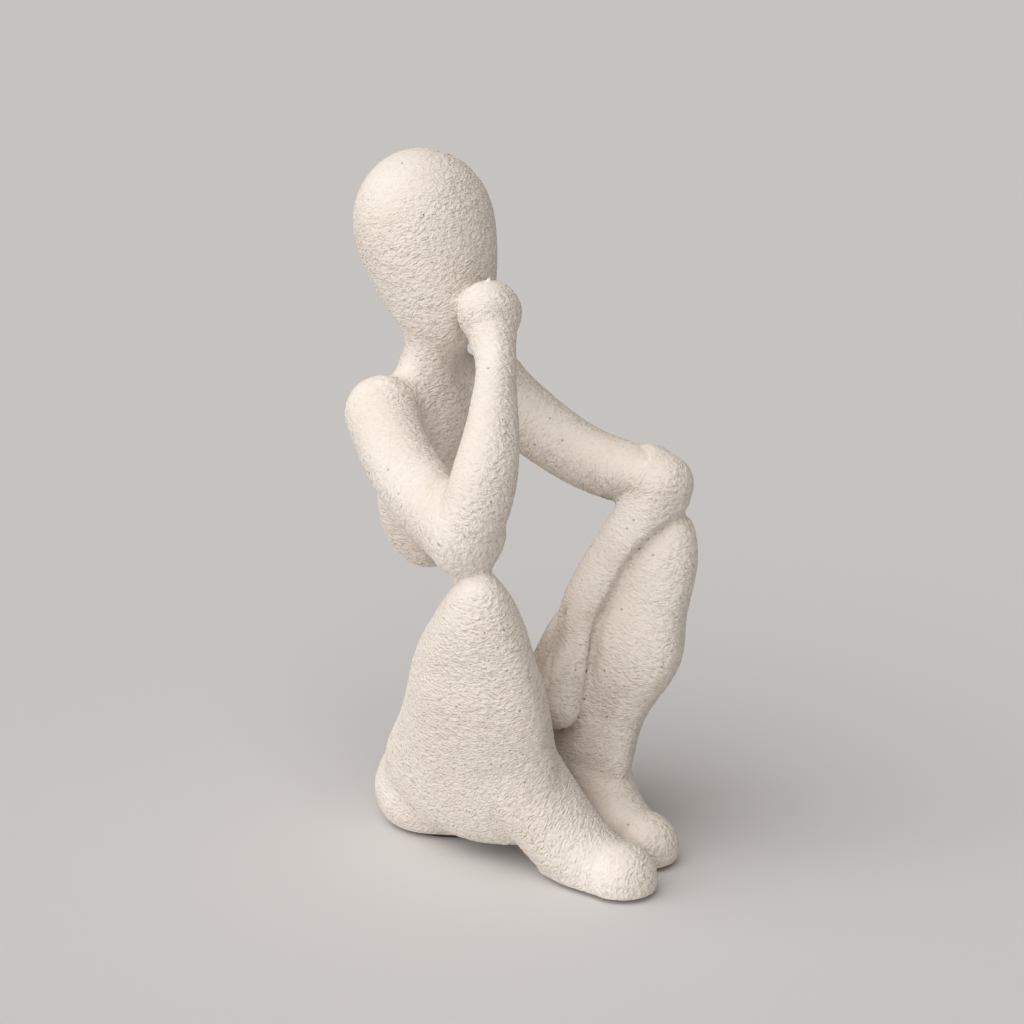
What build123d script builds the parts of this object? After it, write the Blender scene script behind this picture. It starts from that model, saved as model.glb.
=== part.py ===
from build123d import *
import os
from math import cos, pi, radians, sin

# A seated thinking figure in cast stone resin, about as tall as a hand and a half. It faces minus Y,
# its own left side is plus X, and it stands on the ground plane Z = 0. Lengths are millimetres and
# angles are degrees. Seven castings meet face to face in bonded seams, steel dowels hold the seams,
# and three rubber pads carry the figure.

# Hips: a broad seat drawn up into a slim waist
pad_thickness = 1.5
seat_half_width = 32.0
seat_half_depth = 30.0
seat_depth = 0.0
seat_belly_height = 19.0
seat_sole_inset = 2.5
crest_rise = 24.0
crest_half_width = 16.0
crest_half_depth = 15.4
crest_depth = -1.0
loin_rise = 23.0
loin_half_width = 9.6
loin_depth = -8.0
waist_rise = 26.0
waist_half_width = 7.6
waist_depth = -10.0
waist_top_rise = 26.0
waist_top_depth = 13.0
roundness = 0.98

crest_height = seat_belly_height + crest_rise
loin_height = crest_height + loin_rise
waist_height = loin_height + waist_rise
waist_top_height = waist_height + waist_top_rise

# Torso: level oval sections from the belly, where the waist ends, up to the neck, with a round bottom
belly_height = waist_top_height
belly_depth = 19.5
belly_half_width = 19.5
belly_half_depth = 17.6
belly_round = 25.0
chest_rise = 24.0
chest_depth = 17.0
chest_half_width = 20.5
chest_half_depth = 15.6
shoulder_rise = 18.0
shoulder_depth = 15.5
shoulder_half_width = 19.0
shoulder_half_depth = 13.6
nape_rise = 15.0
nape_depth = 13.0
nape_half_width = 13.6
nape_half_depth = 12.2
neck_rise = 15.0
neck_depth = 9.0
neck_half_width = 11.4
neck_half_depth = 11.0

chest_height = belly_height + chest_rise
shoulder_height = chest_height + shoulder_rise
nape_height = shoulder_height + nape_rise
neck_top_height = nape_height + neck_rise

# Head: an egg that leans back from the chin
head_half_width = 25.8
head_crown_rise = 27.8
head_chin_drop = 49.0
cheek_fullness = 15.5
chin_half_width = 17.0
head_lean = 21.0
head_over_neck = 31.5
head_behind_neck = 11.0

head_depth = neck_depth + head_behind_neck
head_height = neck_top_height + head_over_neck

# Arms: the roots lie level at the sides of the chest, and each elbow rests on its knee
arm_side = 25.0
arm_depth = 12.0
arm_root_drop = 3.5
arm_root_radius = 13.6

right_upper_arm_radius = 12.7
right_upper_bow_side = -4.5
right_upper_bow_rise = -3.0
right_elbow_inward = 2.2
right_elbow_back = 8.9
right_elbow_sink = 1.2
right_elbow_radius = 13.9
right_fore_start_rise = 5.0
right_fore_start_forward = 3.0
right_fore_start_radius = 11.8
right_forearm_share = 0.42
right_forearm_bow_side = -5.4
right_forearm_bow_forward = 14.5
right_forearm_radius = 10.4
right_wrist_share = 0.8
right_wrist_bow_forward = 4.7
right_wrist_radius = 7.8
right_hand_side = 0.8
right_hand_front = 39.4
right_hand_drop = 26.7
right_hand_radius = 11.4

left_root_rise = 3.0
left_upper_arm_radius = 11.8
left_upper_bow_side = 2.0
left_upper_bow_rise = -8.0
left_upper_end_radius = 11.6
left_upper_end_gap = 5.0
left_elbow_inward = 3.5
left_elbow_back = 2.2
left_elbow_sink = 2.2
left_elbow_radius = 11.2
left_forearm_share = 0.18
left_forearm_bow_side = 2.4
left_forearm_bow_back = 2.1
left_forearm_radius = 11.8
left_wrist_share = 0.46
left_wrist_bow_side = -1.0
left_wrist_bow_back = 7.3
left_wrist_radius = 9.7
left_palm_share = 0.74
left_palm_bow_side = -1.6
left_palm_bow_back = 6.0
left_palm_radius = 9.2
left_hand_inward = 37.0
left_hand_back = 13.5
left_hand_drop = 79.5
left_hand_radius = 8.8

arm_height = shoulder_height - arm_root_drop

# Legs: level stations in a leaning plane, each a rise, a back reach, a front reach and a half width,
# as shares of the knee's rise, the shin's reach and the thigh's half width
hip_side = 15.0
hip_depth = 0.0
thigh_half_width = 17.5
toe_half_width = 12.8
heel_from_toe = -36.0
heel_rise = 9.0
heel_radius = 12.5

right_knee_rise = 118.9
right_shin_reach = 72.5
right_leg_stations = [
    (1, 0.724, 0.8, 0.17),
    (0.985, 0.662, 0.848, 0.36),
    (0.947, 0.572, 0.89, 0.53),
    (0.888, 0.476, 0.924, 0.69),
    (0.795, 0.359, 0.959, 0.81),
    (0.651, 0.214, 0.986, 0.94),
    (0.448, 0.034, 1, 1),
    (0.287, -0.145, 0.993, 1),
    (0.186, -0.172, 0.938, 0.97),
    (0.11, -0.083, 0.828, 0.83),
    (0.076, 0.041, 0.717, 0.57),
]
right_leg_lean = 16.5
right_toe_rise = 5.0
right_toe_reach = 106.0
right_toe_turn = 10.3

left_knee_rise = 127.3
left_shin_reach = 77.0
left_leg_stations = [
    (1, 0.792, 0.864, 0.17),
    (0.986, 0.734, 0.909, 0.36),
    (0.951, 0.649, 0.955, 0.53),
    (0.896, 0.565, 0.987, 0.69),
    (0.809, 0.468, 1, 0.81),
    (0.676, 0.325, 0.994, 0.94),
    (0.487, 0.156, 0.948, 1),
    (0.283, -0.117, 0.844, 1),
    (0.173, -0.156, 0.805, 0.97),
    (0.102, -0.078, 0.688, 0.83),
    (0.071, 0.039, 0.584, 0.57),
]
left_leg_lean = 13.5
left_toe_rise = 6.0
left_toe_reach = 90.5
left_toe_turn = 5.3

# Feet: points from the instep to the ball, each a way back from the toe, a rise and a radius, as shares
# of the foot's length and the toe's half width
right_foot_length = 50.0
right_foot_points = [(1.00, 0.72, 1.21), (0.78, 0.38, 1.16), (0.54, 0.17, 1.06)]
left_foot_length = 48.0
left_foot_points = [(1.00, 0.79, 1.09), (0.81, 0.43, 1.08), (0.56, 0.20, 1.06)]

# Soft rounds where the castings run into each other
neck_round = 5.0
shoulder_round = 6.0
elbow_round = 4.0

# Dowels in the seams
dowel_diameter = 4.0
dowel_length = 18.0
dowel_glue_gap = 0.1
dowel_end_room = 0.5
neck_pin_rise = 2.5
waist_pin_share = 0.6
shoulder_pin_side = 18.5
hip_pin_side = 16.0
hip_pin_forward = 23.0
hip_pin_height = 24.0
hip_pin_turn = 25.0

# Pads under the seat and the soles
seat_pad_inset = 4.0
sole_pad_radius = 6.5
sole_pad_heel = -36.0
sole_pad_ball = -15.0

ROUND_BOTTOM_ANGLES = (20.0, 45.0, 68.0, 82.0)
OVAL_POINTS = 8
BALL_SWELL = 1.02
QUARTER_ROUND = 0.5523
SIDE = Vector(1, 0, 0)
UP = Vector(0, 0, 1)
GROUND_SPAN = 600.0
SEAM_GAP = 0.001
VOLUME_SLACK = 0.01
ROUND_SHARES = (1.0, 0.8, 0.6)


def oval(center, along, across, half_wide, half_deep):
    """An oval face square to one direction, with its first axis as near as can be to another."""
    direction = along.normalized()
    wide = (across - direction * across.dot(direction)).normalized()
    deep = direction.cross(wide)
    turns = [2 * pi * step / OVAL_POINTS for step in range(OVAL_POINTS)]
    rim = [center + wide * (half_wide * cos(turn)) + deep * (half_deep * sin(turn)) for turn in turns]
    return make_face([Spline(*rim, periodic=True)])


def rounded_limb(points, radii):
    """A round limb along a smooth centre line, with a ball at each end."""
    line = Spline(*points)
    sections = []
    for point, radius in zip(points, radii):
        direction = line.tangent_at(point)
        wide = SIDE - direction * SIDE.dot(direction)
        sections.append((Plane(origin=point, x_dir=wide, z_dir=direction) * Circle(radius)).face())
    limb = loft(sections)
    for point, radius in ((points[0], radii[0]), (points[-1], radii[-1])):
        limb += Pos(*point) * Sphere(radius * BALL_SWELL)
    return limb


def soft_union(body, other, radius):
    """Two bodies in one, with a round along the seam between them, or nothing where it doesn't fit."""
    joined = body + other
    known = body.edges() + other.edges()
    seam = []
    for edge in joined.edges():
        if all(old.distance_to(edge @ 0.5) > SEAM_GAP for old in known):
            seam.append(edge)
    try:
        rounded = fillet(seam, radius)
    except ValueError:
        return None
    return rounded if rounded.is_valid else None


def fit_to(body, other, radius):
    """A body cut to sit on another, with the largest round along the seam that fits, or a sharp seam."""
    for share in ROUND_SHARES:
        rounded = soft_union(body, other, radius * share)
        if rounded is None:
            continue
        fitted = rounded - other
        whole = rounded.volume - other.volume
        if fitted.is_valid and len(fitted.solids()) == 1 and abs(fitted.volume / whole - 1) < VOLUME_SLACK:
            return fitted
    return body - other


def make_head():
    """The egg of the head, turned round its long axis."""
    crown = Bezier((0, head_crown_rise), (head_half_width * QUARTER_ROUND, head_crown_rise),
                   (head_half_width, head_crown_rise * QUARTER_ROUND), (head_half_width, 0))
    jaw = Bezier((head_half_width, 0), (head_half_width, -cheek_fullness),
                 (chin_half_width, -head_chin_drop), (0, -head_chin_drop))
    axis = Line((0, -head_chin_drop), (0, head_crown_rise))
    egg = revolve(Plane.XZ * make_face([crown, jaw, axis]), Axis.Z)
    return Pos(0, head_depth, head_height) * Rot(-head_lean, 0, 0) * egg


def level_body(stations):
    """A smooth body through level ovals, each a height, a depth, a half width and a half depth."""
    sections = []
    for height, depth, half_wide, half_deep in stations:
        sections.append(oval(Vector(0, depth, height), UP, SIDE, half_wide, half_deep))
    return loft(sections)


def make_torso():
    """Neck, shoulders, chest and belly in one smooth body with a round bottom."""
    stations = [
        (neck_top_height, neck_depth, neck_half_width, neck_half_depth),
        (nape_height, nape_depth, nape_half_width, nape_half_depth),
        (shoulder_height, shoulder_depth, shoulder_half_width, shoulder_half_depth),
        (chest_height, chest_depth, chest_half_width, chest_half_depth),
        (belly_height, belly_depth, belly_half_width, belly_half_depth),
    ]
    for angle in ROUND_BOTTOM_ANGLES:
        share = cos(radians(angle))
        height = belly_height - belly_round * sin(radians(angle))
        stations.append((height, belly_depth, belly_half_width * share, belly_half_depth * share))
    return level_body(stations)


def make_hips():
    """The seat, drawn up into the slim waist."""
    stations = [
        (pad_thickness, seat_depth, seat_half_width - seat_sole_inset, seat_half_depth - seat_sole_inset),
        (seat_belly_height, seat_depth, seat_half_width, seat_half_depth),
        (crest_height, crest_depth, crest_half_width, crest_half_depth),
        (loin_height, loin_depth, loin_half_width, loin_half_width * roundness),
        (waist_height, waist_depth, waist_half_width, waist_half_width * roundness),
        (waist_top_height, waist_top_depth, waist_half_width, waist_half_width * roundness),
    ]
    return level_body(stations)


def make_right_arm(knee):
    """Upper arm and forearm folded at an elbow that rests on the knee, with a ball of a hand at the chin."""
    root = Vector(-arm_side, arm_depth, arm_height)
    elbow_lift = right_elbow_radius * BALL_SWELL - right_elbow_sink
    elbow = knee + Vector(right_elbow_inward, right_elbow_back, elbow_lift)
    middle = (root + elbow) / 2 + Vector(right_upper_bow_side, 0, right_upper_bow_rise)
    upper_radii = [arm_root_radius, right_upper_arm_radius, right_elbow_radius]
    upper = rounded_limb([root, middle, elbow], upper_radii)
    start = elbow + Vector(0, -right_fore_start_forward, right_fore_start_rise)
    hand = Vector(-right_hand_side, head_depth - right_hand_front, head_height - right_hand_drop)
    reach = hand - elbow
    forearm_bow = Vector(right_forearm_bow_side, -right_forearm_bow_forward, 0)
    forearm = elbow + reach * right_forearm_share + forearm_bow
    wrist = elbow + reach * right_wrist_share + Vector(0, -right_wrist_bow_forward, 0)
    radii = [right_fore_start_radius, right_forearm_radius, right_wrist_radius, right_hand_radius]
    lower = rounded_limb([start, forearm, wrist, hand], radii)
    return soft_union(upper, lower, elbow_round) or upper + lower


def make_left_arm(knee):
    """Upper arm reaching forward to an elbow on the knee, and a forearm hanging inside the leg."""
    root = Vector(arm_side, arm_depth, arm_height + left_root_rise)
    elbow_lift = left_elbow_radius * BALL_SWELL - left_elbow_sink
    elbow = knee + Vector(-left_elbow_inward, left_elbow_back, elbow_lift)
    end = elbow + (root - elbow).normalized() * left_upper_end_gap
    middle = (root + end) / 2 + Vector(left_upper_bow_side, 0, left_upper_bow_rise)
    upper_radii = [arm_root_radius, left_upper_arm_radius, left_upper_end_radius]
    upper = rounded_limb([root, middle, end], upper_radii)
    reach = Vector(-left_hand_inward, left_hand_back, -left_hand_drop)
    forearm = elbow + reach * left_forearm_share + Vector(left_forearm_bow_side, left_forearm_bow_back, 0)
    wrist = elbow + reach * left_wrist_share + Vector(left_wrist_bow_side, left_wrist_bow_back, 0)
    palm = elbow + reach * left_palm_share + Vector(left_palm_bow_side, left_palm_bow_back, 0)
    radii = [left_elbow_radius, left_forearm_radius, left_wrist_radius, left_palm_radius, left_hand_radius]
    return upper + rounded_limb([elbow, forearm, wrist, palm, elbow + reach], radii)


class Leg:
    """The leaning plane of one leg, with the stations of its outline as reaches and rises."""

    def __init__(self, side, lean, toe_turn, toe_reach, knee_rise, shin_reach, shares):
        self.forward = Vector(sin(radians(toe_turn)), -cos(radians(toe_turn)), 0)
        outward = Vector(0, 0, side).cross(self.forward)
        self.slant = UP * cos(radians(lean)) + outward * sin(radians(lean))
        self.root = Vector(side * hip_side, hip_depth, 0)
        self.toe_reach = toe_reach
        self.stations = []
        for rise, back, front, half_wide in shares:
            span = (shin_reach * back, shin_reach * front)
            self.stations.append((knee_rise * rise, *span, thigh_half_width * half_wide))

    def spot(self, reach, rise):
        """The point in space at a reach and a rise."""
        return self.root + self.forward * reach + self.slant * rise

    def from_toe(self, way, rise):
        """The point in space at a way in front of the toe and a rise."""
        return self.spot(self.toe_reach + way, rise)

    def knee(self):
        """The middle of the topmost station."""
        rise, back, front, _ = self.stations[0]
        return self.spot((back + front) / 2, rise)


def make_leg(leg, foot_length, foot_points, toe_rise):
    """Thigh and calf as one bell of level ovals, with a foot limb and a flat sole."""
    sections = []
    for rise, back, front, half_wide in leg.stations:
        middle = leg.spot((back + front) / 2, rise)
        sections.append(oval(middle, leg.slant, leg.forward, (front - back) / 2, half_wide))
    points = [leg.from_toe(-foot_length * back, foot_length * rise) for back, rise, _ in foot_points]
    points.append(leg.from_toe(-toe_half_width, toe_rise))
    radii = [toe_half_width * share for _, _, share in foot_points]
    foot = rounded_limb(points, [*radii, toe_half_width])
    heel = Pos(*leg.from_toe(heel_from_toe, heel_rise)) * Sphere(heel_radius)
    return loft(sections) + foot + heel - below(pad_thickness)


def below(height):
    """A block that holds everything under a height."""
    return Pos(0, 0, height - GROUND_SPAN / 2) * Box(GROUND_SPAN, GROUND_SPAN, GROUND_SPAN)


def make_sole_pad(leg):
    """A rubber pad under one sole."""
    spots = [leg.from_toe(way, 0) for way in (sole_pad_heel, sole_pad_ball)]
    rims = [(Pos(spot.X, spot.Y) * Circle(sole_pad_radius)).edge() for spot in spots]
    return extrude(make_hull(rims), pad_thickness)


def make_seat_pad():
    """An oval rubber pad under the seat."""
    inset = seat_sole_inset + seat_pad_inset
    rim = oval(Vector(0, seat_depth, 0), UP, SIDE, seat_half_width - inset, seat_half_depth - inset)
    return extrude(rim, pad_thickness)


def dowel(seam, direction, gap=0.0, room=0.0):
    """A dowel across a seam, or with a gap and end room the hole that takes it."""
    return Plane(origin=seam, z_dir=direction) * Cylinder(dowel_diameter / 2 + gap, dowel_length + 2 * room)


def main():
    """Builds every piece, fits the seams, stands the figure at the origin and writes it out."""
    os.makedirs("parts", exist_ok=True)
    right_side = Leg(-1, right_leg_lean, right_toe_turn, right_toe_reach,
                     right_knee_rise, right_shin_reach, right_leg_stations)
    left_side = Leg(1, left_leg_lean, left_toe_turn, left_toe_reach,
                    left_knee_rise, left_shin_reach, left_leg_stations)
    head = make_head()
    torso = fit_to(make_torso(), head, neck_round)
    hips = make_hips() - torso
    right_leg = make_leg(right_side, right_foot_length, right_foot_points, right_toe_rise) - hips
    left_leg = make_leg(left_side, left_foot_length, left_foot_points, left_toe_rise) - hips - right_leg
    right_arm = fit_to(make_right_arm(right_side.knee()), torso, shoulder_round) - head - right_leg
    left_arm = fit_to(make_left_arm(left_side.knee()), torso, shoulder_round)
    left_arm = left_arm - head - left_leg - right_leg - right_arm
    nodes = {
        "head": head,
        "torso": torso,
        "hips": hips,
        "right_arm": right_arm,
        "left_arm": left_arm,
        "right_leg": right_leg,
        "left_leg": left_leg,
    }
    waist = Vector(0, waist_depth, waist_height)
    waist_line = Vector(0, waist_top_depth, waist_top_height) - waist
    hip_out = Vector(sin(radians(hip_pin_turn)), 0, 0)
    hip_front = Vector(0, -cos(radians(hip_pin_turn)), 0)
    seams = [
        (Vector(0, neck_depth, nape_height + neck_pin_rise), UP),
        (waist + waist_line * waist_pin_share, waist_line),
        (Vector(-shoulder_pin_side, arm_depth, arm_height), SIDE),
        (Vector(shoulder_pin_side, arm_depth, arm_height), SIDE),
        (Vector(-hip_pin_side, -hip_pin_forward, hip_pin_height), hip_front - hip_out),
        (Vector(hip_pin_side, -hip_pin_forward, hip_pin_height), hip_front + hip_out),
    ]
    for seam, direction in seams:
        hole = dowel(seam, direction, dowel_glue_gap, dowel_end_room)
        for name in nodes:
            nodes[name] = nodes[name] - hole
    nodes["dowel_pins"] = Part() + [dowel(seam, direction) for seam, direction in seams]
    nodes["seat_pad"] = make_seat_pad()
    nodes["right_foot_pad"] = make_sole_pad(right_side)
    nodes["left_foot_pad"] = make_sole_pad(left_side)
    boxes = [solid.bounding_box() for solid in nodes.values()]
    middle_x = (min(box.min.X for box in boxes) + max(box.max.X for box in boxes)) / 2
    middle_y = (min(box.min.Y for box in boxes) + max(box.max.Y for box in boxes)) / 2
    print("moved by", round(-middle_x, 2), round(-middle_y, 2))
    for name, solid in nodes.items():
        placed = Pos(-middle_x, -middle_y, 0) * solid
        box = placed.bounding_box()
        corners = [round(value, 1) for value in (*box.min, *box.max)]
        print(name, len(placed.solids()), placed.is_valid, round(placed.volume), corners)
        export_step(placed, f"parts/{name}.step")


main()
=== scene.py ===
"""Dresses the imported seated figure: rippled stone-resin castings, steel dowels, foot pads, studio and camera."""

from __future__ import annotations

import logging
import math
from dataclasses import dataclass, field
from enum import Enum

import bmesh
import bpy
import numpy as np
from bpy.types import Material, Mesh, Node, NodeSocket, NodeTree, NodesModifier, Object
from mathutils import Matrix, Vector
from mathutils.bvhtree import BVHTree
from mathutils.kdtree import KDTree


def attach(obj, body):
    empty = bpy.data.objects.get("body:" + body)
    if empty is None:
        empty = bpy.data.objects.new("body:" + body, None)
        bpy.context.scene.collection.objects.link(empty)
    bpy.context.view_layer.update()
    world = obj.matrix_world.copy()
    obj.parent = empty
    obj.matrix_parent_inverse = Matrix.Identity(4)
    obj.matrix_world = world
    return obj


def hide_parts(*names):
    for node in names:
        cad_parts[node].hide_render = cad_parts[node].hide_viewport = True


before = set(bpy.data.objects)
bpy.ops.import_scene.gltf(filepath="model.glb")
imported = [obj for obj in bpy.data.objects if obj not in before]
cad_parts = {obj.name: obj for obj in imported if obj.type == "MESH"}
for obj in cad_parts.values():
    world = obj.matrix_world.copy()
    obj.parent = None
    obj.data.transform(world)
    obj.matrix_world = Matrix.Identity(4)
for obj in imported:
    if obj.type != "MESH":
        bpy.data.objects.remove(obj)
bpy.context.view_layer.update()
LOG = logging.getLogger("seated_figure")
MM = 0.001
Colour = tuple[float, float, float, float]
Place = tuple[float, float, float]


class Piece(Enum):
    """The castings of the figure, by the name of the node that each one dresses."""

    HEAD = "head"
    TORSO = "torso"
    HIPS = "hips"
    RIGHT_ARM = "right_arm"
    LEFT_ARM = "left_arm"
    RIGHT_LEG = "right_leg"
    LEFT_LEG = "left_leg"


class Slot(Enum):
    """Names of the record's material slots; the script does not use them."""

    STONE = "cast_stone"
    STEEL = "dowel_steel"
    PAD = "pad_rubber"


@dataclass(frozen=True)
class NodeGraph:
    """A short way to add and link nodes in a shader or geometry tree.

    Attributes:
        tree: the node tree that is being filled.
    """

    tree: NodeTree

    def add(self, kind: str, settings: dict | None = None, inputs: dict | None = None) -> Node:
        """Adds a node, sets its properties and fills or links its inputs.

        Args:
            kind: the node's type name.
            settings: property names and values.
            inputs: socket names or numbers, each with a value or an output socket.

        Returns:
            The new node.
        """
        node = self.tree.nodes.new(kind)
        for name, value in (settings or {}).items():
            setattr(node, name, value)
        for name, value in (inputs or {}).items():
            if isinstance(value, NodeSocket):
                self.tree.links.new(value, node.inputs[name])
            else:
                node.inputs[name].default_value = value
        return node

    def math(self, operation: str, *values: object) -> NodeSocket:
        """Adds a Math node and returns its result."""
        node = self.add("ShaderNodeMath", {"operation": operation}, dict(enumerate(values)))
        return node.outputs[0]

    def noise(self, vector: NodeSocket, size: float, detail: float, rough: float = 0.5) -> NodeSocket:
        """Adds a noise texture with lumps of a size and returns its level, about 0.5 in the middle."""
        node = self.add("ShaderNodeTexNoise", {"noise_dimensions": "3D"},
                        {"Vector": vector, "Scale": 1.0 / size, "Detail": detail, "Roughness": rough})
        return node.outputs[0]

    def remap(self, value: NodeSocket, low: float, high: float, start: float, end: float) -> NodeSocket:
        """Adds a Map Range node, which turns low to high into start to end, and returns its result."""
        node = self.add("ShaderNodeMapRange", {}, {"Value": value, 1: low, 2: high, 3: start, 4: end})
        return node.outputs[0]

    def mix(self, share: NodeSocket, one: object, other: object) -> NodeSocket:
        """Adds a colour Mix node and returns its result."""
        node = self.add("ShaderNodeMix", {"data_type": "RGBA"}, {0: share, 6: one, 7: other})
        return node.outputs[2]


def new_finish(name: str) -> tuple[Material, NodeGraph, Node]:
    """Makes a material with nodes, and returns it with its graph and its shader."""
    material = bpy.data.materials.new(name)
    material.use_nodes = True
    return material, NodeGraph(material.node_tree), material.node_tree.nodes["Principled BSDF"]


@dataclass(frozen=True)
class Ripple:
    """The wormy relief of the cast surface: short worms that run round a limb, bent and broken by noise.

    Attributes:
        worm_length: length of the worms round the limb.
        worm_width: width of the worms along the limb.
        worm_share: strength of the worms.
        bend_size: size of the broad bends.
        bend_shift: how far the broad bends push the worms along the limb.
        break_size: size of the fine breaks.
        break_shift: how far the fine breaks push the worms along the limb.
        grain_size: size of the coarse grains between the worms.
        grain_share: strength of the coarse grains.
    """

    worm_length: float = 1.9 * MM
    worm_width: float = 0.57 * MM
    worm_share: float = 3.0
    bend_size: float = 6.0 * MM
    bend_shift: float = 5.0 * MM
    break_size: float = 1.7 * MM
    break_shift: float = 1.2 * MM
    grain_size: float = 0.7 * MM
    grain_share: float = 1.5

    def level(self, graph: NodeGraph, place: NodeSocket, along: NodeSocket) -> NodeSocket:
        """Adds the nodes that give the ripple's level, about -1 in a groove and 1 on a crest.

        Args:
            graph: the tree to add to.
            place: a point of the surface.
            along: how far the point lies along its limb.

        Returns:
            The socket of the level.
        """
        bends = graph.noise(place, self.bend_size, 1.0)
        breaks = graph.noise(place, self.break_size, 1.0)
        bent = graph.math("MULTIPLY_ADD", bends, self.bend_shift, along)
        broken = graph.math("MULTIPLY_ADD", breaks, self.break_shift, bent)
        worm = graph.add("ShaderNodeTexNoise", {"noise_dimensions": "4D"},
                         {"Vector": place, "W": graph.math("MULTIPLY", broken, self.worm_length / self.worm_width),
                          "Scale": 1.0 / self.worm_length, "Detail": 0.0}).outputs[0]
        worms = graph.math("MULTIPLY", graph.math("SUBTRACT", worm, 0.5), self.worm_share)
        grain = graph.noise(place, self.grain_size, 0.0)
        grains = graph.math("MULTIPLY", graph.math("SUBTRACT", grain, 0.5), self.grain_share)
        return graph.math("ADD", worms, grains)


RIPPLE = Ripple()
ALONG = "along_limb"
DEPTH = "relief_depth"
SEAM = "seam_line"
HOLLOW = "hollow"


@dataclass(frozen=True)
class StoneFinish:
    """Matt, warm off-white cast resin filled with stone powder.

    Attributes:
        crest: colour of the crests.
        groove: colour of the grooves, partly dust settled in them and partly painted shade in the small recesses.
        stain: colour of the broad, faint stains.
        painted_shade: colour of the painted shade in the deep hollows.
        pinhole: colour at the bottom of the pinholes.
        groove_share: how far the grooves take their colour.
        painted_shade_share: how far the deepest hollows take the painted shade.
        pinhole_share: how far the pinholes take their colour.
        stain_size: size of the stains.
        grain_size: size of the stone grains.
        pinhole_gap: distance between the pinholes.
        ripple_height: height of the ripples in the bump.
        grain_height: height of the grains in the bump.
        pinhole_depth: depth of the pinholes in the bump.
        roughness: roughness of the surface.
        specular: strength of its shine.
        soak: how much light passes through its skin.
        soak_depth: how deep that light goes.
    """

    crest: Colour = (0.85, 0.785, 0.72, 1.0)
    groove: Colour = (0.56, 0.48, 0.39, 1.0)
    stain: Colour = (0.82, 0.745, 0.665, 1.0)
    painted_shade: Colour = (0.47, 0.385, 0.30, 1.0)
    pinhole: Colour = (0.30, 0.24, 0.18, 1.0)
    groove_share: float = 0.75
    painted_shade_share: float = 0.85
    pinhole_share: float = 0.65
    stain_size: float = 26.0 * MM
    grain_size: float = 0.55 * MM
    pinhole_gap: float = 6.5 * MM
    ripple_height: float = 0.2 * MM
    grain_height: float = 0.10 * MM
    pinhole_depth: float = 0.25 * MM
    roughness: float = 0.82
    specular: float = 0.28
    soak: float = 0.06
    soak_depth: float = 1.5 * MM

    def material(self) -> Material:
        """Makes the stone material, with ripple, grain, stains, pinholes and painted shade in the hollows from its
        nodes.
        """
        material, graph, shader = new_finish("cast_stone_finish")
        place = graph.add("ShaderNodeTexCoord").outputs["Object"]
        along, depth, hollow = (graph.add("ShaderNodeAttribute", {"attribute_name": name}).outputs["Fac"]
                                for name in (ALONG, DEPTH, HOLLOW))
        ripple = RIPPLE.level(graph, place, along)
        stains = graph.noise(place, self.stain_size, 3.0)
        grain = graph.noise(place, self.grain_size, 2.0, 0.6)
        cells = graph.add("ShaderNodeTexVoronoi", {"feature": "F1"},
                          {"Vector": place, "Scale": 1.0 / self.pinhole_gap, "Randomness": 1.0})
        hole = graph.remap(cells.outputs["Distance"], 0.045, 0.075, 1.0, 0.0)
        # The grooves darken: partly dust settled in them, partly painted shade in the small recesses; the relief
        # depth makes it weaker on the side that faces the lamp.
        dips = graph.remap(ripple, -1.25, -0.1, 1.0, 0.0)
        groove_part = graph.math("MULTIPLY", dips, graph.math("MULTIPLY", depth, self.groove_share))
        colour = graph.mix(graph.remap(stains, 0.42, 0.66, 0.0, 1.0), self.crest, self.stain)
        colour = graph.mix(groove_part, colour, self.groove)
        # Painted shade: the colour darkens towards a brown shade where a point is shut in by the figure, standing in
        # for light that does not reach the hollows.
        colour = graph.mix(graph.remap(hollow, 0.3, 0.95, 0.0, self.painted_shade_share), colour, self.painted_shade)
        colour = graph.mix(graph.math("MULTIPLY", hole, self.pinhole_share), colour, self.pinhole)
        height = graph.math("MULTIPLY_ADD", graph.math("MULTIPLY", ripple, depth), self.ripple_height,
                            graph.math("MULTIPLY", grain, self.grain_height))
        height = graph.math("SUBTRACT", height, graph.math("MULTIPLY", hole, self.pinhole_depth))
        bump = graph.add("ShaderNodeBump", {}, {"Strength": 1.0, "Distance": 1.0, "Height": height})
        graph.tree.links.new(colour, shader.inputs["Base Color"])
        graph.tree.links.new(bump.outputs[0], shader.inputs["Normal"])
        shader.inputs["Roughness"].default_value = self.roughness
        shader.inputs["Specular IOR Level"].default_value = self.specular
        shader.inputs["Subsurface Weight"].default_value = self.soak
        shader.inputs["Subsurface Radius"].default_value = (1.0, 0.7, 0.45)
        shader.inputs["Subsurface Scale"].default_value = self.soak_depth
        return material


@dataclass(frozen=True)
class SteelFinish:
    """Plain drawn steel of the dowels.

    Attributes:
        colour: colour of the steel.
        mark_size: size of the draw marks.
    """

    colour: Colour = (0.55, 0.55, 0.57, 1.0)
    mark_size: float = 0.4 * MM

    def material(self) -> Material:
        """Makes the steel material, with uneven draw marks."""
        material, graph, shader = new_finish("dowel_steel_finish")
        place = graph.add("ShaderNodeTexCoord").outputs["Object"]
        marks = graph.noise(place, self.mark_size, 3.0)
        graph.tree.links.new(graph.remap(marks, 0.3, 0.7, 0.28, 0.45), shader.inputs["Roughness"])
        shader.inputs["Base Color"].default_value = self.colour
        shader.inputs["Metallic"].default_value = 1.0
        return material


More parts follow.
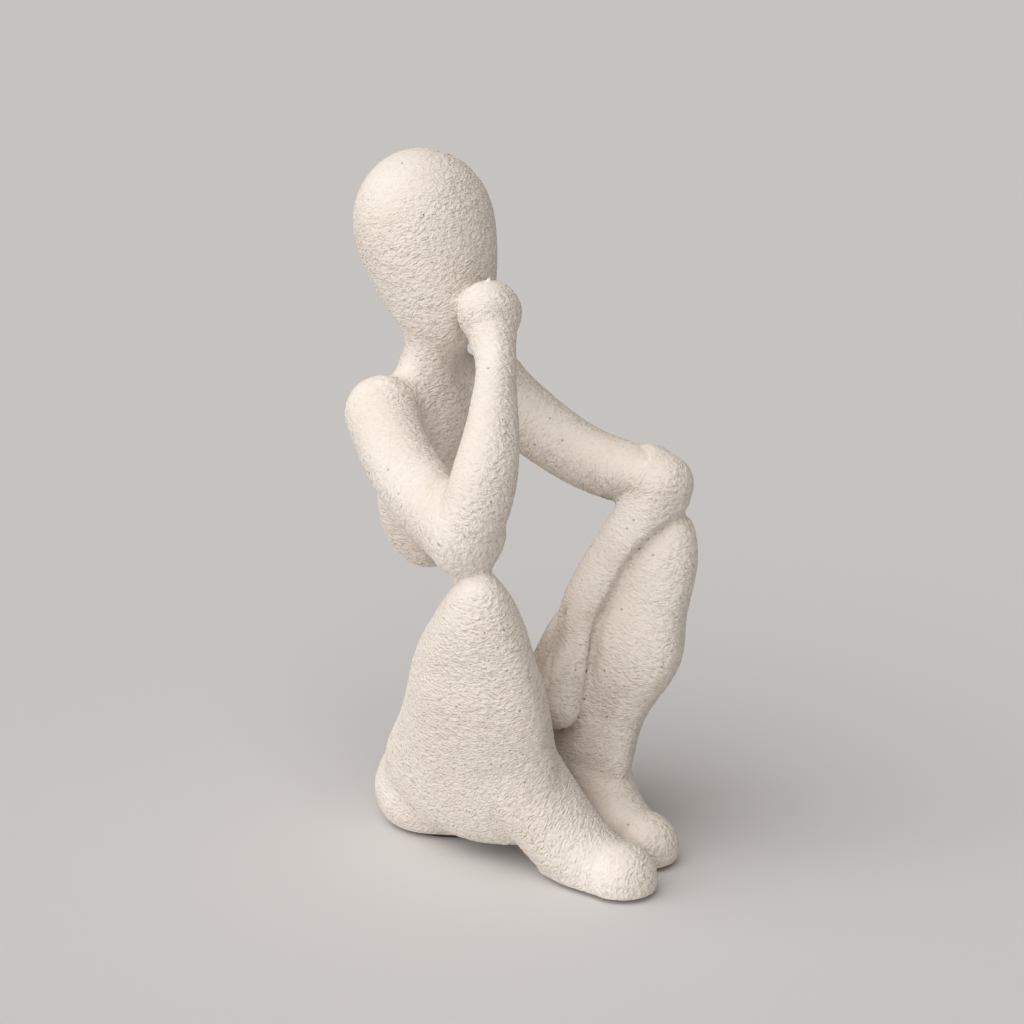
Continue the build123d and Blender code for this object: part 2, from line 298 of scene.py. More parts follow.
@dataclass(frozen=True)
class RubberFinish:
    """Dark rubber of the pads under the seat and the soles.

    Attributes:
        dark: colour of the low grains.
        light: colour of the high grains.
        grain_size: size of the grains.
        roughness: roughness of the surface.
    """

    dark: Colour = (0.030, 0.028, 0.026, 1.0)
    light: Colour = (0.055, 0.051, 0.047, 1.0)
    grain_size: float = 0.5 * MM
    roughness: float = 0.75

    def material(self) -> Material:
        """Makes the rubber material, with a fine moulded grain."""
        material, graph, shader = new_finish("pad_rubber_finish")
        place = graph.add("ShaderNodeTexCoord").outputs["Object"]
        grain = graph.noise(place, self.grain_size, 3.0, 0.65)
        bump = graph.add("ShaderNodeBump", {}, {"Strength": 0.6, "Distance": 0.1 * MM, "Height": grain})
        graph.tree.links.new(graph.mix(grain, self.dark, self.light), shader.inputs["Base Color"])
        graph.tree.links.new(bump.outputs[0], shader.inputs["Normal"])
        shader.inputs["Roughness"].default_value = self.roughness
        return material


def smooth_step(low: float, high: float, value: np.ndarray) -> np.ndarray:
    """Rises smoothly from 0 at low to 1 at high."""
    part = np.clip((value - low) / (high - low), 0.0, 1.0)
    return part * part * (3.0 - 2.0 * part)


def bell(gap: np.ndarray, radius: float) -> np.ndarray:
    """Falls smoothly from 1 where the gap, in metres, is 0; the radius is in millimetres."""
    return np.exp(-(gap / (radius * MM)) ** 2)


def store_level(mesh: Mesh, name: str, values: np.ndarray) -> None:
    """Stores a value for each point of a mesh under a name."""
    stored = mesh.attributes.new(name, "FLOAT", "POINT")
    stored.data.foreach_set("value", values.astype(np.float32))


def mesh_object(name: str, mesh: Mesh) -> Object:
    """Links a mesh into the scene as an object at the origin."""
    made = bpy.data.objects.new(name, mesh)
    bpy.context.scene.collection.objects.link(made)
    return made


def evaluated_mesh(source: Object) -> Mesh:
    """Returns the object's mesh with its modifiers applied, as a plain mesh."""
    graph = bpy.context.evaluated_depsgraph_get()
    shown = source.evaluated_get(graph)
    return bpy.data.meshes.new_from_object(shown, preserve_all_data_layers=True, depsgraph=graph)


def vertex_normals(mesh: Mesh) -> np.ndarray:
    """Returns the mesh's vertex normals, one row each."""
    normals = np.zeros(len(mesh.vertices) * 3, np.float32)
    mesh.vertex_normals.foreach_get("vector", normals)
    return normals.reshape(-1, 3).astype(np.float64)


def face_corners(mesh: Mesh) -> np.ndarray:
    """Returns the four vertex numbers of each face of a mesh of quads."""
    corners = np.zeros(len(mesh.loops), np.int32)
    mesh.loops.foreach_get("vertex_index", corners)
    return corners.reshape(-1, 4)


def keep_largest(mesh: Mesh) -> Mesh:
    """Drops everything from a mesh but its largest connected shell.

    Args:
        mesh: the mesh, which is changed.

    Returns:
        The same mesh.
    """
    bm = bmesh.new()
    bm.from_mesh(mesh)
    left = set(bm.verts)
    shells = []
    while left:
        shell = set()
        waiting = [left.pop()]
        while waiting:
            vert = waiting.pop()
            shell.add(vert)
            for edge in vert.link_edges:
                other = edge.other_vert(vert)
                if other in left:
                    left.remove(other)
                    waiting.append(other)
        shells.append(shell)
    shells.sort(key=len)
    spare = [vert for shell in shells[:-1] for vert in shell]
    bmesh.ops.delete(bm, geom=spare, context="VERTS")
    bm.to_mesh(mesh)
    bm.free()
    return mesh


def inner_faces(points: np.ndarray, quads: np.ndarray) -> tuple[np.ndarray, list[list[int]]]:
    """Closes the open rims of a shell with fans of triangles inside the figure.

    Args:
        points: the points of the shell.
        quads: its faces.

    Returns:
        The points with the fans' middles added, and the triangles.
    """
    starts = quads.ravel()
    ends = np.roll(quads, -1, axis=1).ravel()
    edges = set(zip(starts.tolist(), ends.tolist()))
    rims: dict[int, list[int]] = {}
    for start, end in edges:
        if (end, start) not in edges:
            rims.setdefault(start, []).append(end)
    middles = []
    fans = []
    while rims:
        first = next(iter(rims))
        waiting = [first]
        rim = []
        while waiting:
            start = waiting.pop()
            for end in rims.pop(start, []):
                rim.append((start, end))
                waiting.append(end)
        middle = len(points) + len(middles)
        middles.append(points[[start for start, _ in rim]].mean(0))
        fans.extend([end, start, middle] for start, end in rim)
    if middles:
        points = np.concatenate([points, np.array(middles)])
    return points, fans


@dataclass
class Skin:
    """A mesh held as arrays, to smooth it and to move its points.

    Attributes:
        points: the vertices, one row each.
        edges: the two vertex numbers of each edge.
    """

    points: np.ndarray
    edges: np.ndarray

    @classmethod
    def of(cls, mesh: Mesh) -> Skin:
        """Reads a mesh into arrays."""
        points = np.zeros(len(mesh.vertices) * 3, np.float64)
        mesh.vertices.foreach_get("co", points)
        edges = np.zeros(len(mesh.edges) * 2, np.int64)
        mesh.edges.foreach_get("vertices", edges)
        return cls(points.reshape(-1, 3), edges.reshape(-1, 2))

    def mean_shift(self) -> np.ndarray:
        """Returns for each point the step to the mean of its neighbours."""
        count = len(self.points)
        ends = np.concatenate([self.edges[:, 0], self.edges[:, 1]])
        others = np.concatenate([self.edges[:, 1], self.edges[:, 0]])
        degree = np.maximum(np.bincount(ends, minlength=count), 1)
        total = [np.bincount(ends, self.points[others, axis], count) for axis in range(3)]
        return np.stack(total, 1) / degree[:, None] - self.points

    def soften(self, rounds: int, weight: np.ndarray, inward: float = 0.5, outward: float = -0.53) -> None:
        """Smooths away small bumps and keeps the size, by steps in and out again.

        Args:
            rounds: how many pairs of steps.
            weight: how much each point takes part, from 0 to 1.
            inward: share of the step to the neighbours' mean.
            outward: share of the step back.
        """
        for _ in range(rounds):
            self.points += self.mean_shift() * (weight * inward)[:, None]
            self.points += self.mean_shift() * (weight * outward)[:, None]

    def store(self, mesh: Mesh) -> None:
        """Writes the points back to the mesh that they came from."""
        mesh.vertices.foreach_set("co", self.points.astype(np.float32).ravel())
        mesh.update()


@dataclass(frozen=True)
class Spine:
    """The line down the middle of a casting, from which the ripples take their direction.

    Attributes:
        stops: points of the line, in millimetres.
        spread: how softly a point of the skin chooses its place on the line, in millimetres.
        marks: how many places of the line are tried.
        batch: how many points are measured at a time.
    """

    stops: tuple[Place, ...]
    spread: float = 9.0
    marks: int = 48
    batch: int = 20000

    def along(self, points: np.ndarray) -> np.ndarray:
        """Gives each point's distance along the line.

        Args:
            points: points of the skin, in metres.

        Returns:
            Distances in metres.
        """
        stops = np.array(self.stops) * MM
        runs = np.linalg.norm(np.diff(stops, axis=0), axis=1)
        starts = np.concatenate([[0.0], np.cumsum(runs)])
        marks = np.linspace(0.0, starts[-1], self.marks)
        line = np.stack([np.interp(marks, starts, stops[:, axis]) for axis in range(3)], 1)
        result = np.empty(len(points))
        for low in range(0, len(points), self.batch):
            part = points[low:low + self.batch]
            gap = ((part[:, None, :] - line[None, :, :]) ** 2).sum(2)
            weight = np.exp(-(gap - gap.min(1, keepdims=True)) / (self.spread * MM) ** 2)
            result[low:low + self.batch] = (weight * marks).sum(1) / weight.sum(1)
        return result


@dataclass(frozen=True)
class Spot:
    """A round place on the skin.

    Attributes:
        place: its middle, in millimetres.
        radius: how far it reaches, in millimetres.
    """

    place: Place
    radius: float

    def weight(self, points: np.ndarray) -> np.ndarray:
        """Gives how much each point belongs to the place, from 0 to 1."""
        return bell(np.linalg.norm(points - np.array(self.place) * MM, axis=1), self.radius)


class Calm(Spot):
    """A place where the clay was smoothed by hand."""


@dataclass(frozen=True)
class Nib(Spot):
    """A small nib of resin left by the mould or squeezed out of a seam.

    Attributes:
        height: how far it stands out, in millimetres.
    """

    height: float


@dataclass(frozen=True)
class Nudge(Spot):
    """A small push of the clay before casting.

    Attributes:
        move: how far the middle moves, in millimetres.
        piece: the only casting that it moves, or none for all of them.
    """

    move: Place
    piece: Piece | None = None

    def shift(self, points: np.ndarray) -> np.ndarray:
        """Gives the step that each point takes."""
        return self.weight(points)[:, None] * (np.array(self.move) * MM)


@dataclass(frozen=True)
class Fold:
    """An edge pressed into the clay along a line, low on one side and with a lip on the other.

    Attributes:
        path: points of the line, in millimetres; the low side is on the left, seen from the front.
        front: direction towards someone who looks at the fold.
        width: half width of the low side, in millimetres.
        depth: depth of the low side, in millimetres.
        lip: height of the lip, in millimetres.
        edge: half width of the step between the two sides, in millimetres.
        lip_spread: how much broader the lip is than the low side.
    """

    path: tuple[Place, ...]
    front: Place
    width: float
    depth: float
    lip: float
    edge: float = 0.7
    lip_spread: float = 2.2

    def lift(self, points: np.ndarray) -> np.ndarray:
        """Gives how far each point is raised, in metres, with less than 0 for the low side.

        Args:
            points: points of the skin, in metres.

        Returns:
            The lifts.
        """
        gap = np.full(len(points), np.inf)
        side = np.zeros(len(points))
        path = np.array(self.path) * MM
        for start, end in zip(path[:-1], path[1:]):
            run = end - start
            share = np.clip((points - start) @ run / (run @ run), 0.0, 1.0)
            off = points - start - share[:, None] * run
            away = np.linalg.norm(off, axis=1)
            across = np.cross(self.front, run)
            nearer = away < gap
            gap = np.where(nearer, away, gap)
            side = np.where(nearer, off @ (across / np.linalg.norm(across)), side)
        low = smooth_step(-self.edge * MM, self.edge * MM, side)
        down = self.depth * bell(gap, self.width)
        up = self.lip * bell(gap, self.lip_spread * self.width)
        return (up * (1.0 - low) - down * low) * MM


@dataclass
class Casting:
    """One cast piece of the figure.

    Attributes:
        piece: the node that it dresses.
        spine: the line that its ripples cross.
        nibs: small nibs on it.
        tree: the node's surface, to measure from.
    """

    piece: Piece
    spine: Spine
    nibs: tuple[Nib, ...] = ()
    tree: BVHTree | None = field(default=None, init=False)

    def read(self, gathered: bmesh.types.BMesh) -> None:
        """Takes a merged copy of the node's mesh into a common mesh, and keeps it for measuring.

        Args:
            gathered: the common mesh.
        """
        own = bmesh.new()
        own.from_mesh(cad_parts[self.piece.value].data)
        bmesh.ops.remove_doubles(own, verts=own.verts, dist=1e-6)
        self.tree = BVHTree.FromBMesh(own)
        merged = bpy.data.meshes.new("merged")
        own.to_mesh(merged)
        own.free()
        gathered.from_mesh(merged)
        bpy.data.meshes.remove(merged)

    def gaps(self, points: np.ndarray, limit: float) -> np.ndarray:
        """Measures how far points lie from the casting, up to a limit.

        Args:
            points: one point in each row.
            limit: the largest distance that matters.

        Returns:
            The distances.
        """
        found = (self.tree.find_nearest(point, limit)[3] for point in points)
        return np.array([limit if gap is None else gap for gap in found])

    def hand_over(self, body: Object) -> None:
        """Makes an object stand for the casting's node and ride with the figure."""
        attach(body, "root")
        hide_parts(self.piece.value)
        LOG.info("%s: %d faces", body.name, len(body.data.polygons))


@dataclass(frozen=True)
class ReliefTree:
    """The geometry tree that carves the ripples and the seams into the skin.

    Attributes:
        ripple_height: height of the ripples.
        swell_height: height of the broad swells.
        seam_depth: depth of a seam that shows fully.
        swell_size: size of the swells.
        crumb_size: size of the crumbs along a seam.
    """

    ripple_height: float = 0.16 * MM
    swell_height: float = 0.25 * MM
    seam_depth: float = 0.7 * MM
    swell_size: float = 11.0 * MM
    crumb_size: float = 1.6 * MM

    def fill(self, carving: NodesModifier, stone: Material) -> None:
        """Sets the named inputs of a modifier that holds the tree.

        Args:
            carving: the modifier.
            stone: the material of the castings.
        """
        values = {"Ripple height": self.ripple_height, "Swell height": self.swell_height,
                  "Seam depth": self.seam_depth, "Stone": stone}
        sockets = {item.name: item.identifier for item in carving.node_group.interface.items_tree}
        for name, value in values.items():
            carving[sockets[name]] = value

    def build(self) -> NodeTree:
        """Makes the tree, with named inputs for the depths and the stone.

        Returns:
            The tree.
        """
        tree = bpy.data.node_groups.new("cast_relief", "GeometryNodeTree")
        for name, kind in (("Geometry", "NodeSocketGeometry"), ("Ripple height", "NodeSocketFloat"),
                           ("Swell height", "NodeSocketFloat"), ("Seam depth", "NodeSocketFloat"),
                           ("Stone", "NodeSocketMaterial")):
            tree.interface.new_socket(name, in_out="INPUT", socket_type=kind)
        tree.interface.new_socket("Geometry", in_out="OUTPUT", socket_type="NodeSocketGeometry")
        graph = NodeGraph(tree)
        given = graph.add("NodeGroupInput").outputs
        place = graph.add("GeometryNodeInputPosition").outputs[0]
        along, depth, seam = (
            graph.add("GeometryNodeInputNamedAttribute", {"data_type": "FLOAT"}, {"Name": name}).outputs["Attribute"]
            for name in (ALONG, DEPTH, SEAM))
        ripple = graph.math("SUBTRACT", RIPPLE.level(graph, place, along), 1.0)
        swell = graph.math("SUBTRACT", graph.noise(place, self.swell_size, 2.0), 0.75)
        crumbs = graph.math("SUBTRACT", graph.noise(place, self.crumb_size, 2.0), 0.25)
        cut = graph.math("MULTIPLY", graph.math("MULTIPLY", ripple, depth), given["Ripple height"])
        cut = graph.math("MULTIPLY_ADD", swell, given["Swell height"], cut)
        groove = graph.math("MULTIPLY", graph.math("MULTIPLY", seam, crumbs), given["Seam depth"])
        lift = graph.math("SUBTRACT", cut, groove)
        normal = graph.add("GeometryNodeInputNormal").outputs[0]
        offset = graph.add("ShaderNodeVectorMath", {"operation": "SCALE"}, {0: normal, "Scale": lift}).outputs[0]
        moved = graph.add("GeometryNodeSetPosition", {}, {"Geometry": given["Geometry"], "Offset": offset}).outputs[0]
        real = graph.add("GeometryNodeRealizeInstances", {}, {"Geometry": moved}).outputs[0]
        dressed = graph.add("GeometryNodeSetMaterial", {}, {"Geometry": real, "Material": given["Stone"]}).outputs[0]
        graph.add("NodeGroupOutput", {}, {"Geometry": dressed})
        return tree


@dataclass
class Figure:
    """The seated figure: castings that run together in one skin, dowels in the seams and pads underneath.

    Attributes:
        castings: the cast pieces.
        seams: pairs of castings whose seam shows as a fine line, with its share of the full depth.
        joins: pairs of castings that run together softly, with the radius in millimetres.
        pinches: pairs of castings that are drawn together by a small web, with its radius in millimetres.
        creases: pairs of castings with a valley between them, with its depth and half width in millimetres.
        nudges: small pushes of the clay.
        calms: places that were smoothed by hand.
        folds: folds within a casting.
        lit_side: direction of the side that faces the lamp, where the relief and the groove colour are weakest.
        dowels: the node of the dowels.
        pads: the nodes of the pads.
        blend_rounds: how often a join is smoothed.
        voxel: size of the first skin's faces, in millimetres.
        reach: how far from a casting a point is still measured, in millimetres.
        border_reach: how far from a border a point is still measured, in millimetres.
        lead_full: how much nearer than the others a casting has to be to move fully, in millimetres.
        hollow_rays: how many ways a point looks to find how shut in it is.
        hollow_reach: how far it looks, in millimetres.
        hollow_rounds: how often the found levels are smoothed.
        hollow_start: how far above the skin it looks from, in millimetres.
        first_rounds: how often the raw skin is smoothed.
        last_rounds: how often the skin is smoothed after the pushes.
        lit_side_fade: how much relief and groove colour the side that faces the lamp loses.
        lit_side_from: how much a point faces the lamp before it loses any.
        plain_below: height under which there is no relief, in millimetres.
        full_above: height over which the relief is full, in millimetres.
        seam_width: half width of a seam that shows, in millimetres.
        body: the skin, while it is being made.
        owners: the number of the casting that each face belongs to.
    """

    castings: tuple[Casting, ...]
    seams: dict[tuple[Piece, Piece], float]
    joins: dict[tuple[Piece, Piece], float]
    pinches: dict[tuple[Piece, Piece], float]
    creases: dict[tuple[Piece, Piece], tuple[float, float]]
    nudges: tuple[Nudge, ...]
    calms: tuple[Calm, ...]
    folds: tuple[Fold, ...]
    lit_side: Place = (-0.64, -0.1, 0.76)
    blend_rounds: int = 60
    dowels: str = "dowel_pins"
    pads: tuple[str, ...] = ("seat_pad", "right_foot_pad", "left_foot_pad")
    voxel: float = 1.06
    reach: float = 24.0
    border_reach: float = 8.0
    lead_full: float = 2.2
    hollow_rays: int = 9
    hollow_reach: float = 45.0
    hollow_rounds: int = 8
    hollow_start: float = 0.8
    first_rounds: int = 10
    last_rounds: int = 14
    lit_side_fade: float = 0.6
    lit_side_from: float = 0.5
    plain_below: float = 1.6
    full_above: float = 3.0
    seam_width: float = 0.8
    body: Object | None = field(default=None, init=False)
    owners: np.ndarray | None = field(default=None, init=False)

    def number(self, piece: Piece) -> int:
        """Gives a casting's place in the list."""
        return next(place for place, casting in enumerate(self.castings) if casting.piece is piece)

    def gather(self) -> None:
        """Joins copies of all castings and takes their outer skin, in even faces."""
        gathered = bmesh.new()
        for casting in self.castings:
            casting.read(gathered)
        raw = bpy.data.meshes.new("figure_raw")
        gathered.to_mesh(raw)
        gathered.free()
        rough = mesh_object("figure_rough", raw)
        even = rough.modifiers.new("even", "REMESH")
        even.mode = "VOXEL"
        even.voxel_size = self.voxel * MM
        skin = evaluated_mesh(rough)
        bpy.data.objects.remove(rough)
        self.body = mesh_object("figure_skin", keep_largest(skin))
        LOG.info("skin: %d faces", len(self.body.data.polygons))

    def settle(self) -> None:
        """Smooths the skin, runs the castings together at their joins and gives each face to its casting."""
        mesh = self.body.data
        skin = Skin.of(mesh)
        skin.soften(self.first_rounds, np.ones(len(skin.points)))
        skin.store(mesh)
        near = np.stack([casting.gaps(skin.points, self.reach * MM) for casting in self.castings])
        blended = np.zeros(len(skin.points))
        for (one, other), radius in self.joins.items():
            apart = np.maximum(near[self.number(one)], near[self.number(other)])
            blended = np.maximum(blended, bell(apart, radius))
        for calm in self.calms:
            blended = np.maximum(blended, calm.weight(skin.points))
        for (one, other), radius in self.pinches.items():
            web = radius * MM
            apart = np.maximum(near[self.number(one)], near[self.number(other)])
            push = np.clip(web - apart, 0.0, web) ** 2 / (4.0 * web)
            skin.points += vertex_normals(mesh) * push[:, None]
        self.push(skin, near)
        skin.soften(self.blend_rounds, blended, 0.5, 0.0)
        skin.soften(self.last_rounds, np.ones(len(skin.points)))
        skin.store(mesh)
        # How shut in each point is, from rays cast off the skin; the stone material paints shade into the hollows
        # from it.
        store_level(mesh, HOLLOW, self.hollows(mesh))
        corners = face_corners(mesh)
        belongs = near[:, corners].mean(2).argmin(0)
        mesh.polygons.foreach_set("material_index", belongs.astype(np.int32))
        finer = self.body.modifiers.new("finer", "SUBSURF")
        finer.levels = 1
        finer.render_levels = 1
        fine = evaluated_mesh(self.body)
        self.body.modifiers.remove(finer)
        self.body.data = fine
        bpy.data.meshes.remove(mesh)
        self.owners = np.zeros(len(fine.polygons), np.int32)
        fine.polygons.foreach_get("material_index", self.owners)

    def push(self, skin: Skin, near: np.ndarray) -> None:
        """Pushes the clay at each nudge.

        Args:
            skin: the points, which are moved.
            near: the distances of the points from the castings, one row for each casting.
        """
        steps = np.zeros_like(skin.points)
        for nudge in self.nudges:
            step = nudge.shift(skin.points)
            if nudge.piece is not None:
                own = self.number(nudge.piece)
                lead = np.delete(near, own, 0).min(0) - near[own]
                step *= smooth_step(0.0, self.lead_full * MM, lead)[:, None]
            steps += step
        skin.points += steps

    def hollows(self, mesh: Mesh) -> np.ndarray:
        """Measures how shut in each point of the skin is.

        Args:
            mesh: the skin.

        Returns:
            A level from 0 in the open to 1 in a deep hollow.
        """
        skin = Skin.of(mesh)
        normals = vertex_normals(mesh)
        tree = BVHTree.FromPolygons(skin.points.tolist(), face_corners(mesh).tolist())
        side = np.cross(normals, np.where(np.abs(normals[:, :1]) < 0.8, (1.0, 0.0, 0.0), (0.0, 1.0, 0.0)))
        side /= np.linalg.norm(side, axis=1)[:, None]
        other = np.cross(normals, side)
        starts = [Vector(point) for point in skin.points + normals * (self.hollow_start * MM)]
        hits = np.zeros(len(skin.points))
        for number in range(self.hollow_rays):
            rise = math.sqrt((number + 0.5) / self.hollow_rays)
            turn = number * math.pi * (3.0 - math.sqrt(5.0))
            flat = math.sqrt(1.0 - rise * rise)
            ways = normals * rise + side * (flat * math.cos(turn)) + other * (flat * math.sin(turn))
            hits += [tree.ray_cast(start, way, self.hollow_reach * MM)[3] is not None
                     for start, way in zip(starts, ways.tolist())]
        level = Skin(np.repeat(hits[:, None] / self.hollow_rays, 3, 1), skin.edges)
        for _ in range(self.hollow_rounds):
            level.points += 0.5 * level.mean_shift()
        return level.points[:, 0]

    def mark(self) -> None:
        """Raises the nibs and stores what the relief needs on the skin."""
        mesh = self.body.data
        skin = Skin.of(mesh)
        normals = vertex_normals(mesh)
        corners = face_corners(mesh)
        owner = np.zeros(len(skin.points), np.int32)
        owner[corners.ravel()] = np.repeat(self.owners, corners.shape[1])
        along = np.zeros(len(skin.points))
        for place, casting in enumerate(self.castings):
            own = owner == place
            along[own] = casting.spine.along(skin.points[own])
            for nib in casting.nibs:
                skin.points += normals * (nib.height * MM * nib.weight(skin.points))[:, None]
        lift = sum(fold.lift(skin.points) for fold in self.folds)
        for (one, other), (deep, wide) in self.creases.items():
            gap = self.border_gaps(skin, corners, one, other)
            lift = lift - deep * MM * bell(gap, wide)
        skin.points += normals * lift[:, None]
        skin.store(mesh)
        # Relief and groove colour fade on the side that faces the lamp: in the relief a smoother lit side, in the
        # colour a painted lit side.
        depth = 1.0 - self.lit_side_fade * smooth_step(self.lit_side_from, 1.0, normals @ np.array(self.lit_side))
        depth *= smooth_step(self.plain_below * MM, self.full_above * MM, skin.points[:, 2])
        for name, values in ((ALONG, along), (DEPTH, depth), (SEAM, self.seam_lines(skin, corners))):
            store_level(mesh, name, values)

    def border_gaps(self, skin: Skin, corners: np.ndarray, one: Piece, other: Piece) -> np.ndarray:
        """Measures how far points lie from the border between two castings.

        Args:
            skin: the points of the skin.
            corners: the point numbers of each face.
            one: the first casting.
            other: the second casting.

        Returns:
            The distances, up to the border's reach.
        """
        first, second = (np.zeros(len(skin.points), bool) for _ in range(2))
        first[corners[self.owners == self.number(one)].ravel()] = True
        second[corners[self.owners == self.number(other)].ravel()] = True
        line = np.flatnonzero(first & second)
        reach = self.border_reach * MM
        gaps = np.full(len(skin.points), reach)
        if len(line) == 0:
            return gaps
        tree = KDTree(len(line))
        for place, number in enumerate(line):
            tree.insert(skin.points[number], place)
        tree.balance()
        low = skin.points[line].min(0) - reach
        high = skin.points[line].max(0) + reach
        close = np.flatnonzero(((skin.points > low) & (skin.points < high)).all(1))
        gaps[close] = np.minimum([tree.find(point)[2] for point in skin.points[close]], reach)
        return gaps

    def seam_lines(self, skin: Skin, corners: np.ndarray) -> np.ndarray:
        """Finds how near each point lies to a seam that shows.

        Args:
            skin: the points of the skin.
            corners: the point numbers of each face.

        Returns:
            A level from 0 away from the seams to 1 on them.
        """
        level = np.zeros(len(skin.points))
        for (one, other), share in self.seams.items():
            gap = self.border_gaps(skin, corners, one, other)
            level = np.maximum(level, share * bell(gap, self.seam_width))
        return level

    def carve(self, stone: Material) -> None:
        """Carves the relief into the skin and leaves it as a plain mesh.

        Args:
            stone: the material of the castings.
        """
        relief = ReliefTree()
        carving = self.body.modifiers.new("relief", "NODES")
        carving.node_group = relief.build()
        relief.fill(carving, stone)
        carved = evaluated_mesh(self.body)
        self.body.modifiers.remove(carving)
        plain = self.body.data
        self.body.data = carved
        bpy.data.meshes.remove(plain)

    def part(self, stone: Material) -> None:
        """Parts the skin into the castings, closes each one inside and hands it over.

        Args:
            stone: the material of the castings.
        """
        mesh = self.body.data
        skin = Skin.of(mesh)
        corners = face_corners(mesh)
        normals = vertex_normals(mesh)
        marks = {}
        for name in (DEPTH, SEAM, HOLLOW):
            values = np.zeros(len(skin.points), np.float32)
            mesh.attributes[name].data.foreach_get("value", values)
            marks[name] = values
        for place, casting in enumerate(self.castings):
            own = corners[self.owners == place]
            used, local = np.unique(own, return_inverse=True)
            quads = local.reshape(own.shape)
            points, fans = inner_faces(skin.points[used], quads)
            piece = bpy.data.meshes.new(f"{casting.piece.value}_carved")
            piece.from_pydata(points.tolist(), [], quads.tolist() + fans)
            piece.polygons.foreach_set("use_smooth", np.ones(len(piece.polygons), bool))
            piece.materials.append(stone)
            extra = len(points) - len(used)
            own_marks = {name: values[used] for name, values in marks.items()}
            own_marks[ALONG] = casting.spine.along(skin.points[used]).astype(np.float32)
            for name, values in own_marks.items():
                store_level(piece, name, np.concatenate([values, np.zeros(extra, np.float32)]))
            shading = np.concatenate([normals[used], np.tile((0.0, 0.0, 1.0), (extra, 1))])
            piece.normals_split_custom_set_from_vertices(shading.tolist())
            casting.hand_over(mesh_object(f"{casting.piece.value}_casting", piece))
        whole = self.body
        self.body = None
        bpy.data.objects.remove(whole)
        bpy.data.meshes.remove(mesh)

    def build(self) -> None:
        """Shapes, carves, parts and dresses every piece."""
        stone = StoneFinish().material()
        self.gather()
        self.settle()
        self.mark()
        self.carve(stone)
        self.part(stone)
        self.dress_node(self.dowels, SteelFinish().material())
        rubber = RubberFinish().material()
        for name in self.pads:
            self.dress_node(name, rubber)

    @staticmethod
    def dress_node(name: str, material: Material) -> None:
        """Gives a node of the frame a finish."""
        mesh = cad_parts[name].data
        mesh.materials.clear()
        mesh.materials.append(material)
        LOG.info("%s: dressed", name)


